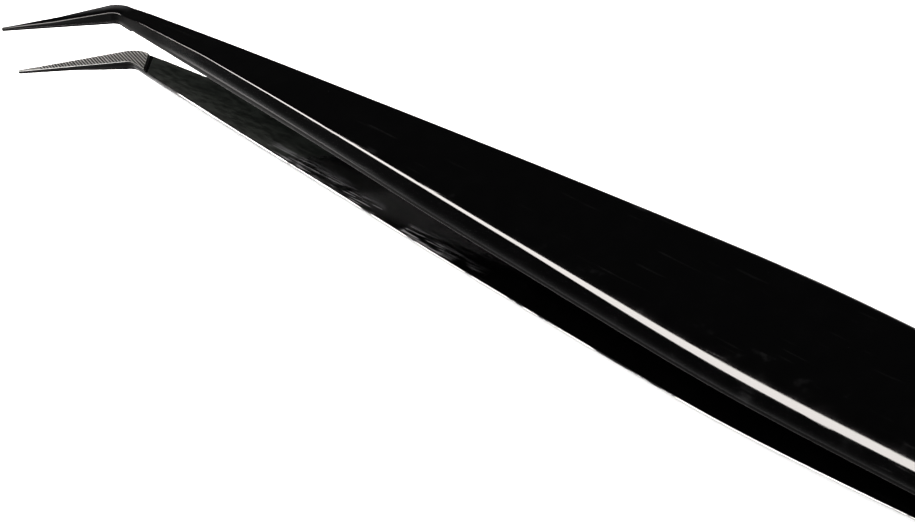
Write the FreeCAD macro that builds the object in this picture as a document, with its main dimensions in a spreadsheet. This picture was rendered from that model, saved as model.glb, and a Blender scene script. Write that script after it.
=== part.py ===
import FreeCAD, Part
import math
import os
import Sketcher

# Bent-tip spring tweezers: two mirrored steel arms, spot welded together at the heel.
#
# Drawing frame: X runs from the bend (X = 0) back along the arms to the heel, Y across them and
# Z in the closing direction, with Z = 0 the plane the two arms close on. The points turn to -Y.
# Each arm is drawn closed and turned open about its spring line. The drawing frame is then
# tipped until the lower arm's belly and the heel's rear edge both lie on the table, and moved so
# that the row frame's origin is under the middle of the whole tool, on the table.

DIMS = {
    # plan of one arm
    "neck_width": 1.5,
    "bend_radius": 1.9,
    "bend_angle": 43.5,
    "point_length": 9.1,
    "point_width": 0.2,
    "shin_width": 0.85,
    "shin_at": 4.9,
    # section of one arm, ground down from the full strip towards the point
    "strip": 1.22,
    "rim": 0.2,
    "bevel": 0.8,
    "thigh_strip": 1.22,
    "thigh_rim": 0.3,
    "thigh_bevel": 0.7,
    "calf_strip": 1.22,
    "calf_rim": 0.38,
    "calf_bevel": 0.65,
    "ankle_strip": 1.17,
    "ankle_rim": 0.38,
    "ankle_bevel": 0.57,
    "root_strip": 0.92,
    "root_rim": 0.22,
    "root_bevel": 0.32,
    "neck_strip": 0.68,
    "neck_rim": 0.16,
    "neck_bevel": 0.2,
    "shin_strip": 0.28,
    "shin_rim": 0.1,
    "shin_bevel": 0.12,
    "point_strip": 0.08,
    "point_rim": 0.04,
    "point_bevel": 0.03,
    # grip pads
    "seat": 0.2,
    "seat_end": 3.1,
    "pad_height": 0.18,
    "step_near": 2.3,
    "step_far": 0.85,
    "step_bevel": 0.14,
    "groove_pitch": 0.2,
    "groove_depth": 0.06,
    "groove_lean": 58.0,
    # spring line, heel and welds
    "spring_at": 80.0,
    "spring_gap": 0.1,
    "open_angle": 1.19,
    "heel_corner": 1.6,
    "weld_diameter": 3.2,
    "weld_depth": 0.3,
    "dent_diameter": 3.6,
    "dent_depth": 0.06,
    "weld_first": 102.0,
    "weld_second": 108.5,
}

# Stations along an arm: distance behind the bend, full width, half gap with the arms closed.
ARM_STATIONS = [
    (3.1, 1.9, 0.2),
    (10.79, 3.11, 0.36),
    (18.48, 4.29, 0.48),
    (26.17, 5.47, 0.57),
    (33.86, 6.75, 0.635),
    (41.55, 7.83, 0.675),
    (49.24, 8.84, 0.69),
    (56.93, 9.62, 0.675),
    (64.62, 9.57, 0.625),
    (72.31, 9.18, 0.53),
    (80.0, 8.76, 0.4),
]
# The arm's first stations are ground differently; the others have the full section.
GROUND_STATIONS = {0: "root_", 1: "ankle_", 2: "calf_", 3: "thigh_"}
# The heel closes up over its first four stations. From there to the last it is flat and welded.
HEEL_STATIONS = [
    (80.0, 8.76, 0.4),
    (85.7, 8.45, 0.19),
    (91.4, 8.14, 0.045),
    (97.0, 7.84, 0.0),
    (114.0, 6.9, 0.0),
]
FLAT_START = 3
FLAT_END = 4

# Rest attitude and the shift that puts the origin under the middle of the tool.
REST_TILT = 1.187
SHIFT = FreeCAD.Vector(-53.644, 0.749, 3.569)

UPPER = 1
LOWER = -1
NEAR_ZERO = 1e-6


def station_name(kind, index):
    return "{}_{}".format(kind, "abcdefghijklm"[index])


def make_sheet(doc):
    sheet = doc.addObject("Spreadsheet::Sheet", "Dims")
    rows = list(DIMS.items())
    for prefix, stations in (("arm", ARM_STATIONS), ("heel", HEEL_STATIONS)):
        for index, (at, width, gap) in enumerate(stations):
            rows.append((station_name(prefix + "_at", index), at))
            rows.append((station_name(prefix + "_width", index), width))
            rows.append((station_name(prefix + "_gap", index), gap))
    for row, (alias, value) in enumerate(rows, start=1):
        sheet.set("A{}".format(row), alias)
        sheet.set("B{}".format(row), str(value))
        sheet.setAlias("B{}".format(row), alias)
    doc.recompute()
    return sheet


def plane(body, role):
    for feature in body.Origin.OriginFeatures:
        if feature.Role == role:
            return feature
    raise RuntimeError("no origin plane " + role)


def new_sketch(body, name, role, offset):
    sketch = body.newObject("Sketcher::SketchObject", name)
    sketch.AttachmentSupport = [(plane(body, role), "")]
    sketch.MapMode = "FlatFace"
    sketch.AttachmentOffset = offset
    return sketch


def shifted(across, up, along, angle=0.0):
    """Offset of a sketch on the YZ plane: across = Y, up = Z, along = X, turned about Z."""
    turn = FreeCAD.Rotation(FreeCAD.Vector(0, 1, 0), angle)
    return FreeCAD.Placement(FreeCAD.Vector(across, up, along), turn)


def closed_lines(sketch, points):
    count = len(points)
    for index in range(count):
        start = FreeCAD.Vector(points[index][0], points[index][1], 0)
        end = FreeCAD.Vector(points[(index + 1) % count][0], points[(index + 1) % count][1], 0)
        sketch.addGeometry(Part.LineSegment(start, end), False)
    for index in range(count):
        sketch.addConstraint(Sketcher.Constraint("Coincident", index, 2, (index + 1) % count, 1))


def join_ends(sketch, count):
    """Join each piece of a closed outline to the next, whichever of their ends meet."""
    for index in range(count):
        after = (index + 1) % count
        for first in (1, 2):
            for second in (1, 2):
                gap = sketch.getPoint(index, first) - sketch.getPoint(after, second)
                if gap.Length < NEAR_ZERO:
                    sketch.addConstraint(
                        Sketcher.Constraint("Coincident", index, first, after, second)
                    )


def drive(sketch, kind, first, second, expression, value):
    """Add a positive horizontal or vertical distance between two points, driven by the sheet."""
    number = sketch.addConstraint(Sketcher.Constraint(kind, *first, *second, value))
    sketch.setExpression("Constraints[{}]".format(number), expression)


def edges_where(shape, test):
    """Names of the edges whose middle passes a test."""
    return [
        "Edge{}".format(index)
        for index, edge in enumerate(shape.Edges, start=1)
        if test(edge.CenterOfMass)
    ]


def section(body, name, offset, side, sizes, exprs, centre=0.0, centre_expr="0"):
    """One cross-section: flat inner face, upright rims, bevels and a flat outer face.

    sizes and exprs hold width, inner height, strip thickness, bevel and rim.
    """
    width, inner, strip, bevel, rim = sizes
    width_e, inner_e, strip_e, bevel_e, rim_e = exprs
    sketch = new_sketch(body, name, "YZ_Plane", offset)
    half = width / 2
    points = [
        (centre - half, side * inner),
        (centre - half, side * (inner + rim)),
        (centre - half + bevel, side * (inner + strip)),
        (centre + half - bevel, side * (inner + strip)),
        (centre + half, side * (inner + rim)),
        (centre + half, side * inner),
    ]
    closed_lines(sketch, points)
    sketch.addConstraint(Sketcher.Constraint("Vertical", 0))
    sketch.addConstraint(Sketcher.Constraint("Horizontal", 2))
    sketch.addConstraint(Sketcher.Constraint("Vertical", 4))
    sketch.addConstraint(Sketcher.Constraint("Horizontal", 5))
    origin = (-1, 1)

    def across(line, expression, value):
        first, second = (origin, (line, 1)) if value > 0 else ((line, 1), origin)
        text = expression if value > 0 else "-({})".format(expression)
        drive(sketch, "DistanceX", first, second, text, abs(value))

    def upward(start, line, expression, value):
        if value < NEAR_ZERO:
            sketch.addConstraint(Sketcher.Constraint("PointOnObject", line, 1, -1))
            return
        first, second = (start, (line, 1)) if side > 0 else ((line, 1), start)
        drive(sketch, "DistanceY", first, second, expression, value)

    across(0, "{} - {} / 2".format(centre_expr, width_e), centre - half)
    across(4, "{} + {} / 2".format(centre_expr, width_e), centre + half)
    across(2, "{} - {} / 2 + {}".format(centre_expr, width_e, bevel_e), centre - half + bevel)
    across(3, "{} + {} / 2 - {}".format(centre_expr, width_e, bevel_e), centre + half - bevel)
    upward(origin, 0, inner_e, inner)
    upward((0, 1), 1, rim_e, rim)
    upward((5, 1), 4, rim_e, rim)
    upward(origin, 2, "{} + {}".format(inner_e, strip_e), inner + strip)
    return sketch


def loft(body, name, sketches, ruled):
    feature = body.newObject("PartDesign::AdditiveLoft", name)
    feature.Profile = sketches[0]
    feature.Sections = sketches[1:]
    feature.Ruled = ruled
    body.Document.recompute()
    return feature


def shape_of(kind):
    """Strip thickness, bevel and rim of one kind of section, and where they stand in the sheet."""
    names = [kind + word for word in ("strip", "bevel", "rim")]
    return tuple(DIMS[name] for name in names), tuple("Dims." + name for name in names)


def seated_section(body, name, offset, side, kind, centre=0.0, centre_expr="0"):
    """A section of the part that carries the grip pad: its inner face lies on the pad's seat."""
    values, sources = shape_of(kind)
    sizes = (DIMS[kind + "width"], DIMS["seat"]) + values
    exprs = ("Dims.{}width".format(kind), "Dims.seat") + sources
    return section(body, name, offset, side, sizes, exprs, centre, centre_expr)


def station_sections(body, prefix, stations, side, kinds, skip_gap=0.0):
    """Sections across the stations; the first one is set back by skip_gap."""
    sketches = []
    for index, (at, width, gap) in enumerate(stations):
        back = skip_gap if index == 0 else 0.0
        values, sources = shape_of(kinds.get(index, ""))
        sizes = (width, gap) + values
        exprs = (
            "Dims." + station_name(prefix + "_width", index),
            "Dims." + station_name(prefix + "_gap", index),
        ) + sources
        name = "{}_{}_{}".format(body.Name, prefix, index)
        sketch = section(body, name, shifted(0, 0, at + back), side, sizes, exprs)
        source = "Dims." + station_name(prefix + "_at", index)
        if back:
            source += " + Dims.spring_gap"
        sketch.setExpression("AttachmentOffset.Base.z", source)
        sketches.append(sketch)
    return sketches


def bend_tangent():
    return DIMS["bend_radius"] * math.tan(math.radians(DIMS["bend_angle"] / 2))


def point_offset(distance):
    """Sketch offset for a section across the point, at a distance from the bend's corner."""
    angle = math.radians(DIMS["bend_angle"])
    return shifted(-distance * math.sin(angle), 0, -distance * math.cos(angle), DIMS["bend_angle"])


def make_arm(doc, label, side):
    body = doc.addObject("PartDesign::Body", label)
    body.Label = label
    tangent = bend_tangent()
    shank = station_sections(body, "arm", ARM_STATIONS, side, GROUND_STATIONS)
    loft(body, label + "_shank", shank, True)

    front = seated_section(body, label + "_seat_front", shifted(0, 0, tangent), side, "neck_")
    values, sources = shape_of(GROUND_STATIONS[0])
    rear = section(
        body, label + "_seat_rear", shifted(0, 0, DIMS["seat_end"]), side,
        (ARM_STATIONS[0][1], DIMS["seat"]) + values, ("Dims.arm_width_a", "Dims.seat") + sources,
    )
    loft(body, label + "_seat", [front, rear], True)

    radius = DIMS["bend_radius"]
    profile = seated_section(
        body, label + "_bend_section", shifted(-radius, 0, tangent), side, "neck_",
        radius, "Dims.bend_radius",
    )
    bend = body.newObject("PartDesign::Revolution", label + "_bend")
    bend.Profile = profile
    bend.ReferenceAxis = (profile, ["V_Axis"])
    bend.setExpression("Angle", "Dims.bend_angle")
    doc.recompute()

    places = (("neck_", tangent), ("shin_", DIMS["shin_at"]), ("point_", DIMS["point_length"]))
    sections = [
        seated_section(body, label + "_at_" + kind + "section", point_offset(at), side, kind)
        for kind, at in places
    ]
    body.Tip = loft(body, label + "_point", sections, True)
    return body


def pad_outline():
    """Plan of a grip pad: the arm's own outline from the point back to the slanting step.

    Returns the straight corners and the three points of each bend arc.
    """
    angle = math.radians(DIMS["bend_angle"])
    along = (-math.cos(angle), -math.sin(angle))
    out = (-math.sin(angle), math.cos(angle))
    tangent = bend_tangent()
    half_neck = DIMS["neck_width"] / 2
    radius = DIMS["bend_radius"]

    def on_point(distance, offset):
        return (
            along[0] * distance + out[0] * offset,
            along[1] * distance + out[1] * offset,
        )

    def on_bend(turned, offset):
        reach = radius + offset
        return (tangent - reach * math.sin(turned), -radius + reach * math.cos(turned))

    def on_arm(at, sign):
        slope = (ARM_STATIONS[0][1] / 2 - half_neck) / (DIMS["seat_end"] - tangent)
        return (at, sign * (half_neck + slope * (at - tangent)))

    near = [
        on_arm(DIMS["step_near"], -1),
        on_arm(tangent, -1),
        on_bend(angle / 2, -half_neck),
        on_point(tangent, -half_neck),
        on_point(DIMS["shin_at"], -DIMS["shin_width"] / 2),
        on_point(DIMS["point_length"], -DIMS["point_width"] / 2),
    ]
    far = [
        on_point(DIMS["point_length"], DIMS["point_width"] / 2),
        on_point(DIMS["shin_at"], DIMS["shin_width"] / 2),
        on_point(tangent, half_neck),
        on_bend(angle / 2, half_neck),
        on_arm(tangent, 1),
        on_arm(DIMS["step_far"], 1),
    ]
    return near, far


def draw_pad(sketch):
    near, far = pad_outline()

    def vec(point):
        return FreeCAD.Vector(point[0], point[1], 0)

    pieces = [
        Part.LineSegment(vec(near[0]), vec(near[1])),
        Part.Arc(vec(near[1]), vec(near[2]), vec(near[3])),
        Part.LineSegment(vec(near[3]), vec(near[4])),
        Part.LineSegment(vec(near[4]), vec(near[5])),
        Part.LineSegment(vec(near[5]), vec(far[0])),
        Part.LineSegment(vec(far[0]), vec(far[1])),
        Part.LineSegment(vec(far[1]), vec(far[2])),
        Part.Arc(vec(far[2]), vec(far[3]), vec(far[4])),
        Part.LineSegment(vec(far[4]), vec(far[5])),
        Part.LineSegment(vec(far[5]), vec(near[0])),
    ]
    for piece in pieces:
        sketch.addGeometry(piece, False)
    join_ends(sketch, len(pieces))


def groove_sketch(body, name, side, angle):
    """A V groove's profile, upright and square to grooves that run at this angle in plan.

    The first groove starts outside the pad, so that the pattern covers all of it.
    """
    turn = math.radians(angle)
    across = (-math.sin(turn), math.cos(turn))
    reach = 0.0
    for corner in pad_outline()[0] + pad_outline()[1]:
        reach = min(reach, corner[0] * across[0] + corner[1] * across[1])
    start = reach + DIMS["groove_pitch"] / 2
    sketch = body.newObject("Sketcher::SketchObject", name)
    sketch.AttachmentSupport = [(plane(body, "XZ_Plane"), "")]
    sketch.MapMode = "FlatFace"
    # On the XZ plane the sketch's x is X and its y is Z; turning about y points x across the grooves.
    spin = FreeCAD.Rotation(FreeCAD.Vector(0, 1, 0), angle + 90)
    sketch.AttachmentOffset = FreeCAD.Placement(FreeCAD.Vector(0, 0, 0), spin)
    face = side * (DIMS["seat"] - DIMS["pad_height"])
    half = DIMS["groove_depth"]
    lip = 0.01
    points = [
        (start - half - lip, face - side * lip),
        (start + half + lip, face - side * lip),
        (start, face + side * DIMS["groove_depth"]),
    ]
    closed_lines(sketch, points)
    return sketch


def cut_grooves(body, label, side, angle):
    doc = body.Document
    profile = groove_sketch(body, label + "_profile", side, angle)
    pocket = body.newObject("PartDesign::Pocket", label + "_first")
    pocket.Profile = profile
    pocket.Type = "ThroughAll"
    pocket.Midplane = True
    doc.recompute()
    turn = math.radians(angle)
    across = (-math.sin(turn), math.cos(turn))
    corners = pad_outline()[0] + pad_outline()[1]
    spans = [corner[0] * across[0] + corner[1] * across[1] for corner in corners]
    count = int((max(spans) - min(spans)) / DIMS["groove_pitch"])
    pattern = body.newObject("PartDesign::LinearPattern", label + "_pattern")
    pattern.Originals = [pocket]
    pattern.Direction = (profile, ["H_Axis"])
    pattern.Length = DIMS["groove_pitch"] * (count - 1)
    pattern.Occurrences = count
    body.Tip = pattern
    doc.recompute()
    return pattern


def make_pad(doc, label, side):
    body = doc.addObject("PartDesign::Body", label)
    body.Label = label
    offset = FreeCAD.Placement(FreeCAD.Vector(0, 0, side * DIMS["seat"]), FreeCAD.Rotation())
    sketch = new_sketch(body, label + "_outline", "XY_Plane", offset)
    draw_pad(sketch)
    plate = body.newObject("PartDesign::Pad", label + "_plate")
    plate.Profile = sketch
    plate.setExpression("Length", "Dims.pad_height")
    plate.Reversed = side > 0
    doc.recompute()

    near, far = pad_outline()
    middle = FreeCAD.Vector(
        (near[0][0] + far[-1][0]) / 2, (near[0][1] + far[-1][1]) / 2,
        side * (DIMS["seat"] - DIMS["pad_height"]),
    )
    names = edges_where(plate.Shape, lambda at: (at - middle).Length < NEAR_ZERO)
    step = body.newObject("PartDesign::Chamfer", label + "_step")
    step.Base = (plate, names)
    step.ChamferType = "Equal distance"
    step.setExpression("Size", "Dims.step_bevel")
    body.Tip = step
    doc.recompute()
    cut_grooves(body, label + "_grooves", side, DIMS["bend_angle"] - DIMS["groove_lean"])
    return body


def pocket_circles(body, name, height, side, diameter, depth, reverse):
    """Round recesses at the two weld places, cut from a level plane."""
    offset = FreeCAD.Placement(FreeCAD.Vector(0, 0, side * height), FreeCAD.Rotation())
    sketch = new_sketch(body, name + "_circles", "XY_Plane", offset)
    for index, alias in enumerate(("weld_first", "weld_second")):
        centre = FreeCAD.Vector(DIMS[alias], 0, 0)
        sketch.addGeometry(Part.Circle(centre, FreeCAD.Vector(0, 0, 1), DIMS[diameter] / 2), False)
        sketch.addConstraint(Sketcher.Constraint("PointOnObject", index, 3, -1))
        drive(sketch, "DistanceX", (-1, 1), (index, 3), "Dims." + alias, DIMS[alias])
        number = sketch.addConstraint(Sketcher.Constraint("Diameter", index, DIMS[diameter]))
        sketch.setExpression("Constraints[{}]".format(number), "Dims." + diameter)
    pocket = body.newObject("PartDesign::Pocket", name)
    pocket.Profile = sketch
    pocket.setExpression("Length", "Dims." + depth)
    pocket.Reversed = reverse
    body.Tip = pocket
    body.Document.recompute()
    return pocket


def heel_outline(body, name):
    """Plan of the heel's flat part: four straight sides, narrowing to the rear."""
    sketch = new_sketch(body, name, "XY_Plane", FreeCAD.Placement())
    front, front_width, _ = HEEL_STATIONS[FLAT_START]
    rear, rear_width, _ = HEEL_STATIONS[FLAT_END]
    closed_lines(sketch, [
        (front, -front_width / 2), (rear, -rear_width / 2),
        (rear, rear_width / 2), (front, front_width / 2),
    ])
    origin = (-1, 1)
    for line, station in ((1, FLAT_END), (3, FLAT_START)):
        at, width, _ = HEEL_STATIONS[station]
        lower, upper = ((line, 1), (line, 2)) if line == 1 else ((line, 2), (line, 1))
        sketch.addConstraint(Sketcher.Constraint("Symmetric", line, 1, line, 2, -1))
        drive(sketch, "DistanceX", origin, lower, "Dims." + station_name("heel_at", station), at)
        width_source = "Dims." + station_name("heel_width", station)
        drive(sketch, "DistanceY", lower, upper, width_source, width)
    return sketch


def make_flat_heel(body, label, side):
    """The heel's flat rear part: rounded corners, and the arm's bevel carried round its end."""
    doc = body.Document
    front = HEEL_STATIONS[FLAT_START][0]
    rear = HEEL_STATIONS[FLAT_END][0]
    plate = body.newObject("PartDesign::Pad", label + "_flat")
    plate.Profile = heel_outline(body, label + "_flat_outline")
    plate.setExpression("Length", "Dims.strip")
    plate.Reversed = side < 0
    doc.recompute()

    corners = body.newObject("PartDesign::Fillet", label + "_corners")
    middle = side * DIMS["strip"] / 2
    upright = edges_where(
        plate.Shape,
        lambda at: abs(at.x - rear) < NEAR_ZERO and abs(at.z - middle) < NEAR_ZERO,
    )
    corners.Base = (plate, upright)
    corners.setExpression("Radius", "Dims.heel_corner")
    doc.recompute()

    bevel = body.newObject("PartDesign::Chamfer", label + "_bevel")
    outer = side * DIMS["strip"]
    rim_edges = edges_where(
        corners.Shape,
        lambda at: abs(at.z - outer) < NEAR_ZERO and at.x > front + NEAR_ZERO,
    )
    bevel.Base = (corners, rim_edges)
    bevel.ChamferType = "Two distances"
    bevel.setExpression("Size", "Dims.strip - Dims.rim")
    bevel.setExpression("Size2", "Dims.bevel")
    doc.recompute()
    level = [face for face in bevel.Shape.Faces if abs(face.CenterOfMass.z - outer) < NEAR_ZERO]
    reach = max(face.BoundBox.XMax for face in level)
    if abs(reach - (rear - DIMS["bevel"])) > NEAR_ZERO:
        raise RuntimeError("{}: bevel ends at {:.3f}".format(label, reach))


def make_heel(doc, label, side):
    body = doc.addObject("PartDesign::Body", label)
    body.Label = label
    make_flat_heel(body, label, side)
    spring = HEEL_STATIONS[:FLAT_START + 1]
    sections = station_sections(body, "heel", spring, side, {}, DIMS["spring_gap"])
    body.Tip = loft(body, label + "_spring", sections, False)
    before = body.Shape.Volume
    pocket_circles(body, label + "_nuggets", 0.0, side, "weld_diameter", "weld_depth", side > 0)
    pocket_circles(
        body, label + "_dents", DIMS["strip"], side, "dent_diameter", "dent_depth", side < 0,
    )
    removed = before - body.Shape.Volume
    area = math.pi / 4
    expected = 2 * area * (
        DIMS["weld_diameter"] ** 2 * DIMS["weld_depth"]
        + DIMS["dent_diameter"] ** 2 * DIMS["dent_depth"]
    )
    if abs(removed - expected) > 0.05 * expected:
        raise RuntimeError("{}: weld recesses removed {:.3f}".format(label, removed))
    return body


def make_weld(doc, label, alias):
    weld = doc.addObject("Part::Cylinder", label)
    weld.Label = label
    weld.setExpression("Radius", "Dims.weld_diameter / 2")
    weld.setExpression("Height", "2 * Dims.weld_depth")
    start = FreeCAD.Vector(DIMS[alias], 0, -DIMS["weld_depth"])
    weld.Placement = FreeCAD.Placement(start, FreeCAD.Rotation())
    return weld


def rest_placement():
    """Drawing frame to row frame."""
    tilt = FreeCAD.Rotation(FreeCAD.Vector(0, 1, 0), REST_TILT)
    return FreeCAD.Placement(SHIFT, tilt)


def open_placement(side):
    """An arm turned open about its spring line, at the strip's inner face."""
    pivot = FreeCAD.Vector(DIMS["spring_at"], 0, side * ARM_STATIONS[-1][2])
    turn = FreeCAD.Rotation(FreeCAD.Vector(0, 1, 0), side * DIMS["open_angle"])
    return FreeCAD.Placement(FreeCAD.Vector(0, 0, 0), turn, pivot)


def check(doc, parts):
    for item in doc.Objects:
        if "Invalid" in item.State or "Error" in item.State:
            raise RuntimeError("{}: {}".format(item.Name, item.State))
    for part in parts:
        shape = part.Shape
        if shape.isNull() or not shape.isValid() or len(shape.Solids) != 1:
            raise RuntimeError("{}: bad shape".format(part.Label))


def main():
    doc = FreeCAD.newDocument("tweezers")
    make_sheet(doc)
    rest = rest_placement()
    parts = []
    for prefix, side in (("upper", UPPER), ("lower", LOWER)):
        opened = rest.multiply(open_placement(side))
        for part in (
            make_arm(doc, prefix + "_arm", side),
            make_pad(doc, prefix + "_grip_pad", side),
        ):
            part.Placement = opened
            parts.append(part)
        heel = make_heel(doc, prefix + "_heel", side)
        heel.Placement = rest
        parts.append(heel)
    for label, alias in (("front_weld", "weld_first"), ("rear_weld", "weld_second")):
        weld = make_weld(doc, label, alias)
        weld.Placement = rest.multiply(weld.Placement)
        parts.append(weld)
    doc.recompute()
    check(doc, parts)
    os.makedirs("parts", exist_ok=True)
    for part in parts:
        part.Shape.exportStep("parts/{}.step".format(part.Label))
    whole = Part.makeCompound([part.Shape for part in parts]).BoundBox
    print("box", [round(v, 3) for v in (
        whole.XMin, whole.YMin, whole.ZMin, whole.XMax, whole.YMax, whole.ZMax)])
    for part in parts:
        print(part.Label, round(part.Shape.Volume, 3), "faces", len(part.Shape.Faces))


main()
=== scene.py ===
"""Fine-pointed spring tweezers with a slanted tip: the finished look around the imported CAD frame.

Shapes are worked out in the tool's drawing frame, in millimetres: X back from the bend, Y across
the arms, Z in the closing direction. Both arms are drawn closed and turned open about their
spring lines, as in the CAD source, and then laid down in the row frame in metres.
"""

import math

import bpy
import numpy as np
from mathutils import Matrix


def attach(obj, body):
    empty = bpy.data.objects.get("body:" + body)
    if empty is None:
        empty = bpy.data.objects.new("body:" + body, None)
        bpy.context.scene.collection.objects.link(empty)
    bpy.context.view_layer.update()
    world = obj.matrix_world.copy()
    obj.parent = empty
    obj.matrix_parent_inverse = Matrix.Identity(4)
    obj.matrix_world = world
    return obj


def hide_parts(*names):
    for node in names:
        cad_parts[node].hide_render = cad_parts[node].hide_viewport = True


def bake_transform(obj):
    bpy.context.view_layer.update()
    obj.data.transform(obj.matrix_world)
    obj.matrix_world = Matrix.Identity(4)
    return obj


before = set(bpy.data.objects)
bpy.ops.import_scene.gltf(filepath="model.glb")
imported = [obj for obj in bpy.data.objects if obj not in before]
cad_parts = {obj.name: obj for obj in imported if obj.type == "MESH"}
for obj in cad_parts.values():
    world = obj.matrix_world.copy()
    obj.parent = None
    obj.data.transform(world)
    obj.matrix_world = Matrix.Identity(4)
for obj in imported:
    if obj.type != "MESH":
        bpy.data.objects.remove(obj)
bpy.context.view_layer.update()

MM = 0.001

# ---- the tool's own dimensions, in millimetres and degrees ----
NECK_WIDTH = 1.5
BEND_RADIUS = 1.9
BEND_ANGLE = math.radians(43.5)
POINT_LENGTH = 9.1
POINT_WIDTH = 0.2
SHIN_WIDTH = 0.85
SHIN_AT = 4.9
SEAT, SEAT_END, PAD_HEIGHT = 0.2, 3.1, 0.18
STEP_NEAR, STEP_FAR, STEP_RAMP = 2.3, 0.85, 0.14
PAD_CHAMFER = 0.03
SPRING_AT, SPRING_HEIGHT = 80.0, 0.4
OPEN_ANGLE = math.radians(1.19)
HEEL_END, HEEL_CORNER = 114.0, 1.6
WELDS = (102.0, 108.5)
DENT_RADIUS, DENT_DEPTH = 1.8, 0.06
# the dent's slope, and the place, width and height of the lip round it, as shares of its size
DENT_SLOPE, LIP_AT, LIP_WIDTH, LIP_HEIGHT = 0.35, 1.04, 0.09, 0.12
# lengths of the finely stepped ends of an arm, and how far the last rings draw in to the nib
HEEL_EDGE, NIB_LENGTH = 0.7, 0.12
NIB_SHARES = (0.45, 0.72, 0.88, 0.96)
REST_TILT = math.radians(1.187)
SHIFT = (-53.644, 0.749, 3.569)

# strip thickness, rim and bevel of the section, ground down from the full strip to the point
FULL = (1.22, 0.2, 0.8)
THIGH = (1.22, 0.3, 0.7)
CALF = (1.22, 0.38, 0.65)
ANKLE = (1.17, 0.38, 0.57)
ROOT = (0.92, 0.22, 0.32)
NECK = (0.68, 0.16, 0.2)
SHIN = (0.28, 0.1, 0.12)
POINT = (0.08, 0.04, 0.03)
BEVEL = FULL[2]

# distance behind the bend, full width, half gap with the arms closed
STATIONS = np.array([
    (3.1, 1.9, 0.2), (10.79, 3.11, 0.36), (18.48, 4.29, 0.48), (26.17, 5.47, 0.57),
    (33.86, 6.75, 0.635), (41.55, 7.83, 0.675), (49.24, 8.84, 0.69), (56.93, 9.62, 0.675),
    (64.62, 9.57, 0.625), (72.31, 9.18, 0.53), (80.0, 8.76, 0.4),
])
HEEL_STATIONS = np.array([
    (80.0, 8.76, 0.4), (85.7, 8.45, 0.19), (91.4, 8.14, 0.045), (97.0, 7.84, 0.0),
])
HEEL_END_WIDTH = 6.9

TANGENT = BEND_RADIUS * math.tan(BEND_ANGLE / 2)
BEND_ARC = BEND_RADIUS * BEND_ANGLE
PATH_END = BEND_ARC + POINT_LENGTH - TANGENT
PATH_HEEL = -(HEEL_END - TANGENT)

# where along the arm, and along the point from the bend's corner, each section stands
ARM_STOPS = np.array([TANGENT, *STATIONS[:5, 0]])
ARM_SHAPES = np.array([NECK, ROOT, ANKLE, CALF, THIGH, FULL])
POINT_STOPS = np.array([TANGENT, SHIN_AT, POINT_LENGTH])
POINT_SHAPES = np.array([NECK, SHIN, POINT])
POINT_WIDTHS = np.array([NECK_WIDTH, SHIN_WIDTH, POINT_WIDTH])

# ---- looks ----
COATING = (0.0002, 0.0002, 0.00022, 1)
SATIN = (0.0013, 0.0017, 0.0013, 1)
SATIN_LIGHT = (0.0036, 0.0044, 0.0035, 1)
STEEL = (0.22, 0.22, 0.215, 1)
BARE_STEEL = (0.75, 0.75, 0.74, 1)
# near black painted into the knurl's grooves as shade
GROOVE_SHADE_GREY = (0.003, 0.003, 0.0035, 1)
# grey for worn edges and scuffs, and also for the painted sheen on the outside of the bend
WEAR_AND_SHEEN_GREY = (0.05, 0.05, 0.052, 1)
GROOVE_PITCH, GROOVE_DEPTH, GROOVE_SHARE = 0.2, 0.062, 0.86
GROOVE_LEAN = math.radians(58)
# smooth borders left round the grooves: at the pad's sides, its tip, its step and the far corner,
# each with the length over which the grooves then run out
SIDE_LAND, TIP_LAND, STEP_LAND, CORNER_LAND = (0.035, 0.05), (1.3, 0.9), (0.02, 0.05), (0.42, 0.15)
# the worn band across the lower arm's near rim, and where behind the bend it starts and is full
WORN_BAND = (0.5, 1, 1, 1, 1, 0.5)
WORN_FROM, WORN_FULL = 3.0, 9.0
# the flanks are dull up to the first distance behind the bend, and glossy from the second
FLANK_DULL, FLANK_GLOSSY = 5.0, 14.0


# ------------------------------------------------------------------ frames
def to_row(points):
    """Drawing frame in millimetres to row frame in metres."""
    c, s = math.cos(REST_TILT), math.sin(REST_TILT)
    x, y, z = points[:, 0], points[:, 1], points[:, 2]
    out = np.stack([x * c + z * s + SHIFT[0], y + SHIFT[1], -x * s + z * c + SHIFT[2]], 1)
    return out * MM


def opened(points, side):
    """Turn what lies ahead of the spring line open about it."""
    out = points.copy()
    ahead = points[:, 0] < SPRING_AT
    angle = side * OPEN_ANGLE
    dx = points[ahead, 0] - SPRING_AT
    dz = points[ahead, 2] - side * SPRING_HEIGHT
    out[ahead, 0] = SPRING_AT + dx * math.cos(angle) + dz * math.sin(angle)
    out[ahead, 2] = side * SPRING_HEIGHT - dx * math.sin(angle) + dz * math.cos(angle)
    return out


# ------------------------------------------------------------------ path and section
def natural_spline(xs, ys):
    """Second derivatives of a natural cubic spline."""
    n = len(xs)
    a = np.zeros((n, n))
    b = np.zeros(n)
    a[0, 0] = a[-1, -1] = 1
    for i in range(1, n - 1):
        h0, h1 = xs[i] - xs[i - 1], xs[i + 1] - xs[i]
        a[i, i - 1], a[i, i], a[i, i + 1] = h0, 2 * (h0 + h1), h1
        b[i] = 6 * ((ys[i + 1] - ys[i]) / h1 - (ys[i] - ys[i - 1]) / h0)
    return np.linalg.solve(a, b)


def spline_at(xs, ys, seconds, x):
    i = int(np.clip(np.searchsorted(xs, x) - 1, 0, len(xs) - 2))
    h = xs[i + 1] - xs[i]
    a, b = (xs[i + 1] - x) / h, (x - xs[i]) / h
    bend = ((a**3 - a) * seconds[i] + (b**3 - b) * seconds[i + 1]) * h * h / 6
    return a * ys[i] + b * ys[i + 1] + bend


ARM_SECONDS = [natural_spline(STATIONS[:, 0], STATIONS[:, k]) for k in (1, 2)]
HEEL_SECONDS = [natural_spline(HEEL_STATIONS[:, 0], HEEL_STATIONS[:, k]) for k in (1, 2)]


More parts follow.
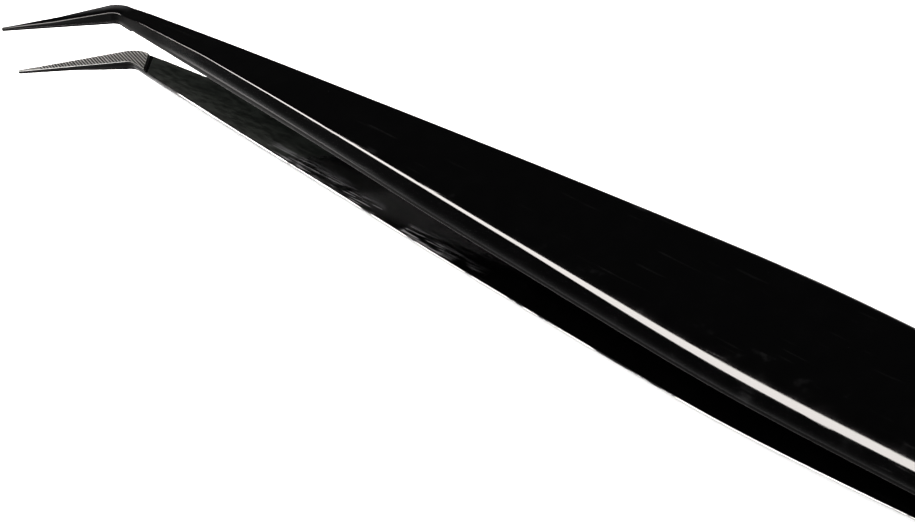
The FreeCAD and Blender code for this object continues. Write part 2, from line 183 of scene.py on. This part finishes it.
def smooth(t):
    t = min(max(t, 0.0), 1.0)
    return t * t * (3 - 2 * t)


def mix(a, b, t):
    return a + (b - a) * t


def width_and_gap(x):
    """Full width and half gap (closed) of the strip, x behind the bend."""
    if x <= SEAT_END:
        t = (x - TANGENT) / (SEAT_END - TANGENT)
        return mix(NECK_WIDTH, STATIONS[0, 1], t), SEAT
    if x <= SPRING_AT:
        return tuple(spline_at(STATIONS[:, 0], STATIONS[:, k], ARM_SECONDS[k - 1], x) for k in (1, 2))
    if x <= HEEL_STATIONS[-1, 0]:
        found = tuple(
            spline_at(HEEL_STATIONS[:, 0], HEEL_STATIONS[:, k], HEEL_SECONDS[k - 1], x)
            for k in (1, 2)
        )
        return found[0], max(found[1], 0.0)
    t = (x - HEEL_STATIONS[-1, 0]) / (HEEL_END - HEEL_STATIONS[-1, 0])
    return mix(HEEL_STATIONS[-1, 1], HEEL_END_WIDTH, t), 0.0


def place(s, v):
    """Plan position at path distance s (0 at the bend's rear, growing to the point), offset v."""
    if s <= 0:
        return TANGENT - s, v
    if s <= BEND_ARC:
        a = s / BEND_RADIUS
        return TANGENT - (BEND_RADIUS + v) * math.sin(a), -BEND_RADIUS + (BEND_RADIUS + v) * math.cos(a)
    d = s - BEND_ARC + TANGENT
    ca, sa = math.cos(BEND_ANGLE), math.sin(BEND_ANGLE)
    return -d * ca - v * sa, -d * sa + v * ca


def section_sizes(s):
    """Half width, inner height, strip, rim, bevel at path distance s."""
    if s <= 0:
        x = TANGENT - s
        width, gap = width_and_gap(x)
        shape = [float(np.interp(x, ARM_STOPS, ARM_SHAPES[:, k])) for k in range(3)]
        return (width / 2, gap, *shape)
    if s <= BEND_ARC:
        return (NECK_WIDTH / 2, SEAT, *NECK)
    d = s - BEND_ARC + TANGENT
    shape = [float(np.interp(d, POINT_STOPS, POINT_SHAPES[:, k])) for k in range(3)]
    return (float(np.interp(d, POINT_STOPS, POINT_WIDTHS)) / 2, SEAT, *shape)


# curves may take up this share of a side; a flat's first and last points stand this far in
LONGEST_SHARE = 0.94
EDGE_STRIP, WIDEST_STRIP = 0.03, 0.2


def rounded(corners, reaches, arcs, flats):
    """A closed outline round these corners: a curve at each, then points along the flat after it.

    Each reach says how far before and after its corner the curve starts and stops.
    Returns the points and, for each, 1 on a curve and 0 on a flat.
    """
    n = len(corners)
    corners = [np.array(c, float) for c in corners]
    lengths = [np.linalg.norm(corners[(i + 1) % n] - corners[i]) for i in range(n)]
    starts, stops = [None] * n, [None] * n
    for i in range(n):
        after = (i + 1) % n
        wanted = reaches[i][1] + reaches[after][0]
        share = min(1.0, LONGEST_SHARE * lengths[i] / wanted)
        along = (corners[after] - corners[i]) / lengths[i]
        stops[i] = corners[i] + along * reaches[i][1] * share
        starts[after] = corners[after] - along * reaches[after][0] * share
    points, marks = [], []
    for i in range(n):
        for k in range(arcs[i] + 1):
            t = k / arcs[i]
            points.append((1 - t) ** 2 * starts[i] + 2 * t * (1 - t) * corners[i] + t**2 * stops[i])
            marks.append(1.0)
        following = starts[(i + 1) % n]
        length = max(np.linalg.norm(following - stops[i]), 1e-9)
        strip = min(EDGE_STRIP / length, WIDEST_STRIP)
        for k in range(flats[i] + 1):
            t = strip + (1 - 2 * strip) * k / flats[i]
            points.append(stops[i] + (following - stops[i]) * t)
            marks.append(0.0)
    return np.array(points), np.array(marks)


# corner order: near inner edge, near rim top, near ridge, far ridge, far rim top, far inner edge
ARCS = (4, 10, 20, 20, 10, 4)
FLATS = (2, 4, 24, 4, 2, 12)
INNER_START = sum(ARCS) + sum(FLATS[:-1]) + 2 * len(ARCS) - 1
# the outline's first point of the near rim's curve, and of the near ridge's
NEAR_RIM = ARCS[0] + FLATS[0] + 2
NEAR_RIDGE = NEAR_RIM + ARCS[1] + FLATS[1] + 2

# how far the near ridge's rounding runs onto the outer face, by distance behind the bend
RIDGE_AT = (0.0, 12.0, 26.0, 42.0, 50.0, 62.0)
RIDGE_REACH = (0.05, 0.06, 0.37, 0.8, 1.45, 2.1)


def corner_reaches(x, rim):
    """How far the rounding runs either side of each corner, in the order of the outline.

    The near ridge is rounded more and more towards the belly; the far one stays tighter.
    """
    near_face = float(np.interp(x, RIDGE_AT, RIDGE_REACH))
    near_flank = 0.02 + 0.34 * near_face
    far_face = 0.04 + 0.22 * near_face
    far_flank = 0.03 + 0.14 * near_face
    rim_flank = mix(0.08, 0.5, smooth(x / 14.0))
    rim_wall = rim * 0.7
    inner = min(mix(0.012, 0.05, smooth((x - STEP_NEAR) / 2.0)), rim * 0.2)
    return [
        (inner, inner), (rim_wall, rim_flank), (near_flank, near_face),
        (far_face, far_flank), (rim_flank, rim_wall), (inner, inner),
    ]


def heel_end_sizes(x, half, strip, rim, bevel):
    """Round the heel's corners in plan, and carry the bevel round its end."""
    run = x - (HEEL_END - HEEL_CORNER)
    if run <= 0:
        return half, strip, bevel
    straight = half - HEEL_CORNER
    foot = straight + math.sqrt(max(HEEL_CORNER**2 - run**2, 0.0))
    top = straight + math.sqrt(max((HEEL_CORNER - BEVEL) ** 2 - run**2, 0.0))
    beyond = max(0.0, (x - (HEEL_END - BEVEL)) / BEVEL)
    fallen = rim + (strip - rim) * (1 - min(beyond, 0.98))
    return foot, fallen, max(foot - top, 0.02)


def arm_section(s, side):
    """One ring of the arm's skin, with its rounded corners marked and its distance from the near side."""
    half, inner, strip, rim, bevel = section_sizes(s)
    x = TANGENT - s
    half, strip, bevel = heel_end_sizes(x, half, strip, rim, bevel)
    corners = [
        (-half, 0), (-half, rim), (-half + bevel, strip), (half - bevel, strip), (half, rim), (half, 0),
    ]
    ring, marks = rounded(corners, corner_reaches(x, rim), ARCS, FLATS)
    out = np.empty((len(ring), 3))
    for k, (v, z) in enumerate(ring):
        px, py = place(s, v)
        out[k] = (px, py, inner + z)
    if x > WELDS[0] - 2 * DENT_RADIUS:
        for weld in WELDS:
            gap = np.hypot(out[:, 0] - weld, out[:, 1]) / DENT_RADIUS
            top = np.abs(ring[:, 1] - strip) < 0.02
            dish = np.clip((1.0 - gap) / DENT_SLOPE, 0, 1)
            lip = np.exp(-(((gap - LIP_AT) / LIP_WIDTH) ** 2)) * LIP_HEIGHT
            out[top, 2] -= DENT_DEPTH * (dish * dish * (3 - 2 * dish) - lip)[top]
    out[:, 2] *= side
    return out, marks, ring[:, 0] + half


def path_stations():
    """Path distances of the rings, closer together where the shape turns."""
    spans = [
        (PATH_HEEL, PATH_HEEL + HEEL_EDGE, 14),
        (PATH_HEEL + HEEL_EDGE, -(HEEL_STATIONS[-1, 0] - TANGENT), 68),
        (-(HEEL_STATIONS[-1, 0] - TANGENT), -(SEAT_END - TANGENT), 200),
        (-(SEAT_END - TANGENT), 0.0, 14),
        (0.0, BEND_ARC, 16),
        (BEND_ARC, PATH_END - NIB_LENGTH, 60),
        (PATH_END - NIB_LENGTH, PATH_END, 5),
    ]
    values = []
    for low, high, count in spans:
        values += list(np.linspace(low, high, count, endpoint=False))
    return values + [PATH_END]


def new_mesh(name, verts, faces):
    mesh = bpy.data.meshes.new(name)
    mesh.from_pydata([tuple(v) for v in verts], [], faces)
    mesh.validate()
    obj = bpy.data.objects.new(name, mesh)
    bpy.context.scene.collection.objects.link(obj)
    mesh.polygons.foreach_set("use_smooth", [True] * len(mesh.polygons))
    return obj


def add_values(obj, name, values):
    layer = obj.data.attributes.new(name, "FLOAT", "POINT")
    layer.data.foreach_set("value", np.asarray(values, np.float32))


def wall_mask(x):
    """1 on the dull side walls and rims; near the point the dull finish takes in the flanks too."""
    half = np.zeros(INNER_START // 2 + 1)
    flank = 1.0 - smooth((x - FLANK_DULL) / (FLANK_GLOSSY - FLANK_DULL))
    half[:NEAR_RIDGE + 6] = flank
    half[:NEAR_RIM + ARCS[1] + 1] = np.linspace(1.0, flank, NEAR_RIM + ARCS[1] + 1)
    half[:NEAR_RIM + ARCS[1] // 2] = 1.0
    mask = np.zeros(INNER_START + FLATS[5] + 1)
    mask[:len(half)] = half
    mask[INNER_START - len(half):INNER_START] = np.maximum(
        mask[INNER_START - len(half):INNER_START], half[::-1]
    )
    return mask


def build_arm(name, side):
    rings, edge, inset, wall = [], [], [], []
    stations = path_stations()
    for s in stations:
        ring, marks, from_near = arm_section(s, side)
        rings.append(ring)
        edge.append(marks)
        inset.append(from_near)
        wall.append(wall_mask(TANGENT - s))
    # draw the very end of the point in to a small rounded nib
    for back, share in enumerate(NIB_SHARES):
        ring = rings[-1 - back]
        middle = ring.mean(axis=0)
        middle[2] = side * SEAT
        rings[-1 - back] = middle + (ring - middle) * share
    count = len(rings[0])
    points = np.concatenate(rings)
    faces = []
    for i in range(len(rings) - 1):
        for k in range(count):
            a, b = i * count + k, i * count + (k + 1) % count
            c, d = b + count, a + count
            faces.append((a, b, c, d) if side > 0 else (d, c, b, a))
    first = list(range(count))
    last = [(len(rings) - 1) * count + k for k in range(count)]
    faces.append(tuple(reversed(first)) if side > 0 else tuple(first))
    faces.append(tuple(last) if side > 0 else tuple(reversed(last)))
    obj = new_mesh(name, to_row(opened(points, side)), faces)
    add_values(obj, "edge", np.concatenate(edge))
    inner = np.zeros(count)
    inner[INNER_START:] = 1.0
    add_values(obj, "inner", np.tile(inner, len(rings)))
    add_values(obj, "behind", points[:, 0])
    add_values(obj, "inset", np.concatenate(inset))
    # the lower arm's near rim is worn through to the steel behind the bend
    worn = np.zeros(count)
    if side < 0:
        worn[NEAR_RIM - 2:NEAR_RIM - 2 + len(WORN_BAND)] = WORN_BAND
    grown = [smooth((TANGENT - s - WORN_FROM) / (WORN_FULL - WORN_FROM)) for s in stations]
    add_values(obj, "worn", np.concatenate([worn * share for share in grown]))
    add_values(obj, "wall", np.concatenate(wall))
    return obj


# ------------------------------------------------------------------ grip pads
PAD_ALONG, PAD_ACROSS = 430, 72


def groove(x, y):
    """0 on the lands and 1 at the bottom of a V groove, in plan."""
    angle = BEND_ANGLE - GROOVE_LEAN
    across = -x * math.sin(angle) + y * math.cos(angle)
    t = abs((across / GROOVE_PITCH) % 1.0 - 0.5) * 2
    return max(0.0, 1 - (1 - t) / GROOVE_SHARE)


def past(distance, land):
    """0 within a smooth border, rising to 1 where the grooves beside it are at their full depth."""
    return smooth((distance - land[0]) / land[1])


def pad_point(q, v):
    """Path distance here and at the step, and half width, at pad fractions q (to the point), v (-1..1)."""
    start = -(mix(STEP_NEAR, STEP_FAR, (v + 1) / 2) - TANGENT)
    s = mix(start, PATH_END, q)
    half = section_sizes(s)[0]
    return s, start, half


def build_pad(name, side):
    verts, cut, mats = [], [], []
    face = SEAT - PAD_HEIGHT
    for i in range(PAD_ALONG + 1):
        q = i / PAD_ALONG
        for j in range(PAD_ACROSS + 1):
            v = -1 + 2 * j / PAD_ACROSS
            s, start, half = pad_point(q, v)
            shrink = 1.0 if PATH_END - s > 0.1 else mix(0.5, 1.0, (PATH_END - s) / 0.1)
            x, y = place(s, v * half * shrink)
            from_step = s - start
            from_edge = half * (1 - abs(v))
            from_tip = PATH_END - s
            strength = past(from_edge, SIDE_LAND) * past(from_tip, TIP_LAND)
            strength *= past(from_step - STEP_RAMP, STEP_LAND)
            strength *= past(from_step + 1.2 * (1 - v) * half, CORNER_LAND)
            deep = groove(x, y) * strength
            ramp = max(0.0, STEP_RAMP - from_step)
            edge = max(0.0, PAD_CHAMFER - from_edge)
            lift = face + deep * GROOVE_DEPTH + ramp * 0.98 + edge * edge / PAD_CHAMFER * 0.8
            verts.append((x, y, side * min(lift, SEAT)))
            cut.append(smooth((deep - 0.12) / 0.3))
            mats.append(1 if from_step < STEP_RAMP else 0)
    row = PAD_ACROSS + 1
    faces, face_mats = [], []
    for i in range(PAD_ALONG):
        for j in range(PAD_ACROSS):
            a = i * row + j
            quad = (a, a + row, a + row + 1, a + 1)
            faces.append(quad if side < 0 else tuple(reversed(quad)))
            face_mats.append(mats[a])
    # skirt down to the seat, and a back that closes the piece
    rim = [i * row for i in range(PAD_ALONG + 1)]
    rim += [PAD_ALONG * row + j for j in range(1, row)]
    rim += [i * row + PAD_ACROSS for i in range(PAD_ALONG - 1, -1, -1)]
    rim += [j for j in range(PAD_ACROSS - 1, 0, -1)]
    base = len(verts)
    for index in rim:
        x, y, _ = verts[index]
        verts.append((x, y, side * SEAT))
        cut.append(0.0)
    count = len(rim)
    for k in range(count):
        a, b = rim[k], rim[(k + 1) % count]
        c, d = base + (k + 1) % count, base + k
        quad = (a, d, c, b)
        faces.append(quad if side < 0 else tuple(reversed(quad)))
        face_mats.append(1)
    back = tuple(base + k for k in range(count))
    faces.append(back if side > 0 else tuple(reversed(back)))
    face_mats.append(0)
    obj = new_mesh(name, to_row(opened(np.array(verts), side)), faces)
    add_values(obj, "cut", cut)
    add_values(obj, "wall", np.ones(len(verts)))
    return obj, face_mats


# ------------------------------------------------------------------ materials
def new_material(name):
    mat = bpy.data.materials.new(name)
    mat.use_nodes = True
    nodes = mat.node_tree.nodes
    return mat, nodes, mat.node_tree.links, nodes["Principled BSDF"]


def math_node(nodes, links, kind, a, b=None, clamp=False):
    node = nodes.new("ShaderNodeMath")
    node.operation = kind
    node.use_clamp = clamp
    for index, value in enumerate((a, b)):
        if value is None:
            continue
        if isinstance(value, (int, float)):
            node.inputs[index].default_value = value
        else:
            links.new(value, node.inputs[index])
    return node.outputs[0]


def attribute(nodes, name):
    node = nodes.new("ShaderNodeAttribute")
    node.attribute_name = name
    return node.outputs["Fac"]


def ranged(nodes, links, value, low, high, to_low=0.0, to_high=1.0):
    node = nodes.new("ShaderNodeMapRange")
    node.interpolation_type = "SMOOTHSTEP"
    node.inputs["From Min"].default_value = low
    node.inputs["From Max"].default_value = high
    node.inputs["To Min"].default_value = to_low
    node.inputs["To Max"].default_value = to_high
    links.new(value, node.inputs["Value"])
    return node.outputs["Result"]


def noise(nodes, links, scale, stretch=(1, 1, 1), turn=(0, 0, 0), detail=4.0, offset=(0, 0, 0)):
    """Noise over object coordinates, with its own stretch and direction."""
    coords = nodes.new("ShaderNodeTexCoord")
    mapping = nodes.new("ShaderNodeMapping")
    mapping.inputs["Scale"].default_value = stretch
    mapping.inputs["Rotation"].default_value = turn
    mapping.inputs["Location"].default_value = offset
    texture = nodes.new("ShaderNodeTexNoise")
    texture.inputs["Scale"].default_value = scale
    texture.inputs["Detail"].default_value = detail
    links.new(coords.outputs["Object"], mapping.inputs["Vector"])
    links.new(mapping.outputs["Vector"], texture.inputs["Vector"])
    return texture.outputs["Fac"]


def blended(nodes, links, factor, first, second):
    node = nodes.new("ShaderNodeMix")
    node.data_type = "RGBA"
    links.new(factor, node.inputs["Factor"])
    for name, value in (("A", first), ("B", second)):
        socket = [x for x in node.inputs if x.name == name and x.type == "RGBA"][0]
        if isinstance(value, tuple):
            socket.default_value = value
        else:
            links.new(value, socket)
    return [x for x in node.outputs if x.type == "RGBA"][0]


def bump(nodes, links, height, distance, strength=1.0, normal=None):
    node = nodes.new("ShaderNodeBump")
    node.inputs["Strength"].default_value = strength
    node.inputs["Distance"].default_value = distance
    links.new(height, node.inputs["Height"])
    if normal is not None:
        links.new(normal, node.inputs["Normal"])
    return node.outputs["Normal"]


def hairlines(nodes, links, turn, offset, low, high):
    """Sparse fine scratches: long thin peaks of a stretched noise."""
    field = noise(nodes, links, 60, (1.2, 60, 60), (0, 0, turn), 2.0, offset)
    return ranged(nodes, links, field, low, high)


def black_coating():
    mat, nodes, links, shader = new_material("black_coating")
    shader.inputs["IOR"].default_value = 1.5
    names = ("behind", "inner", "edge", "inset", "worn", "wall")
    behind, inner, edge, inset, worn, wall = (attribute(nodes, n) for n in names)

    def times(a, b):
        return math_node(nodes, links, "MULTIPLY", a, b)

    def plus(a, b):
        return math_node(nodes, links, "ADD", a, b)

    # the inner face is satin from just behind the grip pad to a slanting line under the shank
    from_step = plus(behind, times(inset, 0.85))
    to_line = plus(behind, times(inset, -1.07))
    satin = times(inner, ranged(nodes, links, from_step, 2.5, 2.75))
    satin = times(satin, ranged(nodes, links, to_line, 18.6, 20.2, 1, 0))
    brushed = noise(nodes, links, 2400, (0.4, 2.0, 1), (0, 0, math.radians(-48)), 6.0)
    mottled = noise(nodes, links, 700, detail=5.0)
    brushed_tint = blended(nodes, links, ranged(nodes, links, brushed, 0.4, 0.62), SATIN, SATIN_LIGHT)
    tint = blended(nodes, links, satin, COATING, brushed_tint)
    # groups of short strokes scuffed into the inner face along its near edge
    scuffed = times(inner, ranged(nodes, links, inset, 0.02, 1.5, 1, 0))
    scuffed = times(scuffed, ranged(nodes, links, behind, 16, 19))
    scuffed = times(scuffed, ranged(nodes, links, behind, 33, 40, 1, 0))
    groups = noise(nodes, links, 330, (1, 1.3, 1), (0, 0, 0), 1.0, (0.35, 0.1, 0))
    scuffed = times(scuffed, ranged(nodes, links, groups, 0.46, 0.56))
    strokes = noise(nodes, links, 1000, (0.4, 9, 1), (0, 0, math.radians(-8)), 1.0, (0.2, 0.5, 0))
    scuffs = times(scuffed, ranged(nodes, links, strokes, 0.5, 0.62))
    # painted sheen: the outer face is lightened to a soft grey on the outside of the bend, towards the
    # point, in place of the reflection of the light there
    painted_bend_sheen = ranged(nodes, links, behind, -5.6, -3.0)
    painted_bend_sheen = times(painted_bend_sheen, ranged(nodes, links, behind, -1.4, 1.4, 1, 0))
    painted_bend_sheen = times(painted_bend_sheen, ranged(nodes, links, inset, 0.5, 1.45, 0, 0.85))
    painted_bend_sheen = times(painted_bend_sheen, math_node(nodes, links, "SUBTRACT", 1.0, inner))
    painted_bend_sheen = times(painted_bend_sheen, ranged(nodes, links, mottled, 0.3, 0.7, 0.6, 1))
    edge_rub = times(edge, ranged(nodes, links, mottled, 0.6, 0.8, 0, 0.04))
    # worn edges and scuffs, and the painted sheen on the bend, all lean towards the same grey
    wear_and_sheen = plus(plus(edge_rub, scuffs), painted_bend_sheen)
    tint = blended(nodes, links, wear_and_sheen, tint, WEAR_AND_SHEEN_GREY)
    # the worn edge is bare steel, broken up where coating is left
    left = noise(nodes, links, 700, (0.6, 1, 1), (0, 0, 0), 5.0, (0.4, 0, 0))
    bare = plus(worn, ranged(nodes, links, left, 0.3, 0.7, -0.5, 0.3))
    bare = times(ranged(nodes, links, bare, 0.62, 0.8), ranged(nodes, links, worn, 0.02, 0.2))
    tint = blended(nodes, links, bare, tint, BARE_STEEL)
    links.new(tint, shader.inputs["Base Color"])
    links.new(bare, shader.inputs["Metallic"])
    lines = math_node(
        nodes, links, "MAXIMUM",
        hairlines(nodes, links, math.radians(20), (0.3, 0.1, 0.2), 0.68, 0.74),
        hairlines(nodes, links, math.radians(-35), (0.7, 0.4, 0.1), 0.69, 0.75),
    )
    rough = ranged(nodes, links, mottled, 0.3, 0.8, 0.08, 0.13)
    rough = plus(rough, times(lines, 0.1))
    rough = plus(rough, times(wall, 0.2))
    rough = plus(rough, times(scuffs, 0.35))
    satin_rough = ranged(nodes, links, brushed, 0.3, 0.7, 0.3, 0.45)
    links.new(plus(rough, times(satin, satin_rough)), shader.inputs["Roughness"])
    # the side walls and the satin patch mirror less than the glossy faces
    dulled = plus(times(wall, -0.475), times(satin, -0.375))
    mirrored = math_node(nodes, links, "ADD", dulled, 0.5, clamp=True)
    links.new(mirrored, shader.inputs["Specular IOR Level"])
    swell = noise(nodes, links, 160, detail=2.0)
    normal = bump(nodes, links, swell, 0.00002, 0.15)
    normal = bump(nodes, links, times(satin, brushed), 0.000012, 0.8, normal)
    normal = bump(nodes, links, lines, 0.000003, 0.4, normal)
    links.new(normal, shader.inputs["Normal"])
    return mat


def knurled_steel():
    mat, nodes, links, shader = new_material("knurled_steel")
    shader.inputs["Metallic"].default_value = 1.0
    cut = attribute(nodes, "cut")
    speck = noise(nodes, links, 2600, detail=5.0)
    # painted shade: the knurl's grooves are darkened towards near black by their depth, broken up by a
    # fine speckle
    painted_groove_shade = math_node(nodes, links, "MULTIPLY", cut, ranged(nodes, links, speck, 0.25, 0.75, 0.92, 1.0))
    tint = blended(nodes, links, painted_groove_shade, STEEL, GROOVE_SHADE_GREY)
    links.new(tint, shader.inputs["Base Color"])
    links.new(ranged(nodes, links, speck, 0.3, 0.7, 0.36, 0.42), shader.inputs["Roughness"])
    links.new(bump(nodes, links, speck, 0.000004, 0.4), shader.inputs["Normal"])
    return mat


def weld_steel():
    mat, nodes, links, shader = new_material("weld_steel")
    shader.inputs["Metallic"].default_value = 1.0
    speck = noise(nodes, links, 1500, detail=6.0)
    tint = blended(nodes, links, speck, (0.24, 0.23, 0.22, 1), (0.42, 0.41, 0.4, 1))
    links.new(tint, shader.inputs["Base Color"])
    links.new(ranged(nodes, links, speck, 0.2, 0.8, 0.35, 0.6), shader.inputs["Roughness"])
    links.new(bump(nodes, links, speck, 0.00002, 0.7), shader.inputs["Normal"])
    return mat


def floor_material():
    mat, nodes, links, shader = new_material("studio_floor")
    shader.inputs["Roughness"].default_value = 0.85
    shader.inputs["Specular IOR Level"].default_value = 0.1
    grain = noise(nodes, links, 40, detail=3.0)
    links.new(
        blended(nodes, links, grain, (0.86, 0.86, 0.86, 1), (0.89, 0.89, 0.885, 1)),
        shader.inputs["Base Color"],
    )
    return mat


# ------------------------------------------------------------------ build
coating = black_coating()
steel = knurled_steel()
weld = weld_steel()

for prefix, side in (("upper", 1), ("lower", -1)):
    arm = build_arm(prefix + "_arm_strip", side)
    arm.data.materials.append(coating)
    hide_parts(prefix + "_arm", prefix + "_heel")
    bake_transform(arm)
    pad, face_mats = build_pad(prefix + "_grip_face", side)
    pad.data.materials.append(steel)
    pad.data.materials.append(coating)
    pad.data.polygons.foreach_set("material_index", face_mats)
    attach(pad, prefix + "_arm")
    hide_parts(prefix + "_grip_pad")

for name in ("front_weld", "rear_weld"):
    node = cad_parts[name]
    if not node.material_slots:
        node.data.materials.append(weld)
    for slot in node.material_slots:
        slot.material = weld

# ------------------------------------------------------------------ stage
FLOOR_SIZE = 4.0
floor = new_mesh(
    "floor",
    [(x * FLOOR_SIZE, y * FLOOR_SIZE, 0) for x, y in ((-1, -1), (1, -1), (1, 1), (-1, 1))],
    [(0, 1, 2, 3)],
)
floor.data.materials.append(floor_material())


def softbox(name, direction, size_x, size_y, power):
    """An area light one metre or so from the aim point in this direction, and facing it."""
    light = bpy.data.lights.new(name, "AREA")
    light.shape = "RECTANGLE"
    light.size, light.size_y = size_x, size_y
    light.energy = power
    obj = bpy.data.objects.new(name, light)
    bpy.context.scene.collection.objects.link(obj)
    place_at = AIM + np.array(direction)
    back = place_at - AIM
    back /= np.linalg.norm(back)
    side = np.cross((0, 1, 0), back)
    side /= np.linalg.norm(side)
    up = np.cross(back, side)
    obj.matrix_world = Matrix((
        (side[0], up[0], back[0], place_at[0]),
        (side[1], up[1], back[1], place_at[1]),
        (side[2], up[2], back[2], place_at[2]),
        (0, 0, 0, 1),
    ))
    return obj


AIM = np.array((-0.02, 0.0, 0.003))
WARM = (1.0, 0.95, 0.915)
key = softbox("key_softbox", (-0.49, -0.15, 0.86), 0.9, 0.46, 26.0)
key.data.color = WARM
softbox("fill_softbox", (0.6, 0.45, 0.66), 1.0, 1.0, 24.0)
softbox("front_softbox", (0.45, -0.7, 0.56), 0.9, 0.9, 26.0)

world = bpy.data.worlds.new("studio")
bpy.context.scene.world = world
world.use_nodes = True
w_nodes, w_links = world.node_tree.nodes, world.node_tree.links
background = w_nodes["Background"]
coords = w_nodes.new("ShaderNodeTexCoord")
split = w_nodes.new("ShaderNodeSeparateXYZ")
w_links.new(coords.outputs["Generated"], split.inputs["Vector"])
ramp = w_nodes.new("ShaderNodeValToRGB")
w_links.new(split.outputs["Z"], ramp.inputs["Fac"])
# bright at the horizon, dark overhead: height, then brightness
stops = ((0.0, 1.0), (0.1, 0.6), (0.2, 0.15), (0.32, 0.03), (1.0, 0.006))
while len(ramp.color_ramp.elements) < len(stops):
    ramp.color_ramp.elements.new(0.5)
for element, (at, level) in zip(ramp.color_ramp.elements, stops):
    element.position = at
    element.color = (level, level, level * 1.01, 1)
w_links.new(ramp.outputs["Color"], background.inputs["Color"])

# ------------------------------------------------------------------ camera
CAMERA_AT = np.array([(92.28, -50.71, 63.63)])
CAMERA_AXES = np.array([
    (0.7284, 0.67165, -0.13534),
    (0.3816, -0.56175, -0.73404),
    (-0.56905, 0.48303, -0.66548),
])
FOCAL_PIXELS, IMAGE_WIDTH, SENSOR = 1600.0, 915.0, 36.0

camera_data = bpy.data.cameras.new("camera")
camera_data.sensor_width = SENSOR
camera_data.lens = FOCAL_PIXELS / IMAGE_WIDTH * SENSOR
camera_data.clip_start = 0.005
camera = bpy.data.objects.new("camera", camera_data)
bpy.context.scene.collection.objects.link(camera)
origin = to_row(np.zeros((1, 3)))[0]
axes = (to_row(CAMERA_AXES) - origin) / MM
where = to_row(CAMERA_AT)[0]
right, down, ahead = axes
camera.matrix_world = Matrix((
    (right[0], -down[0], -ahead[0], where[0]),
    (right[1], -down[1], -ahead[1], where[1]),
    (right[2], -down[2], -ahead[2], where[2]),
    (0, 0, 0, 1),
))
bpy.context.scene.camera = camera
bpy.context.scene.view_settings.view_transform = "Standard"
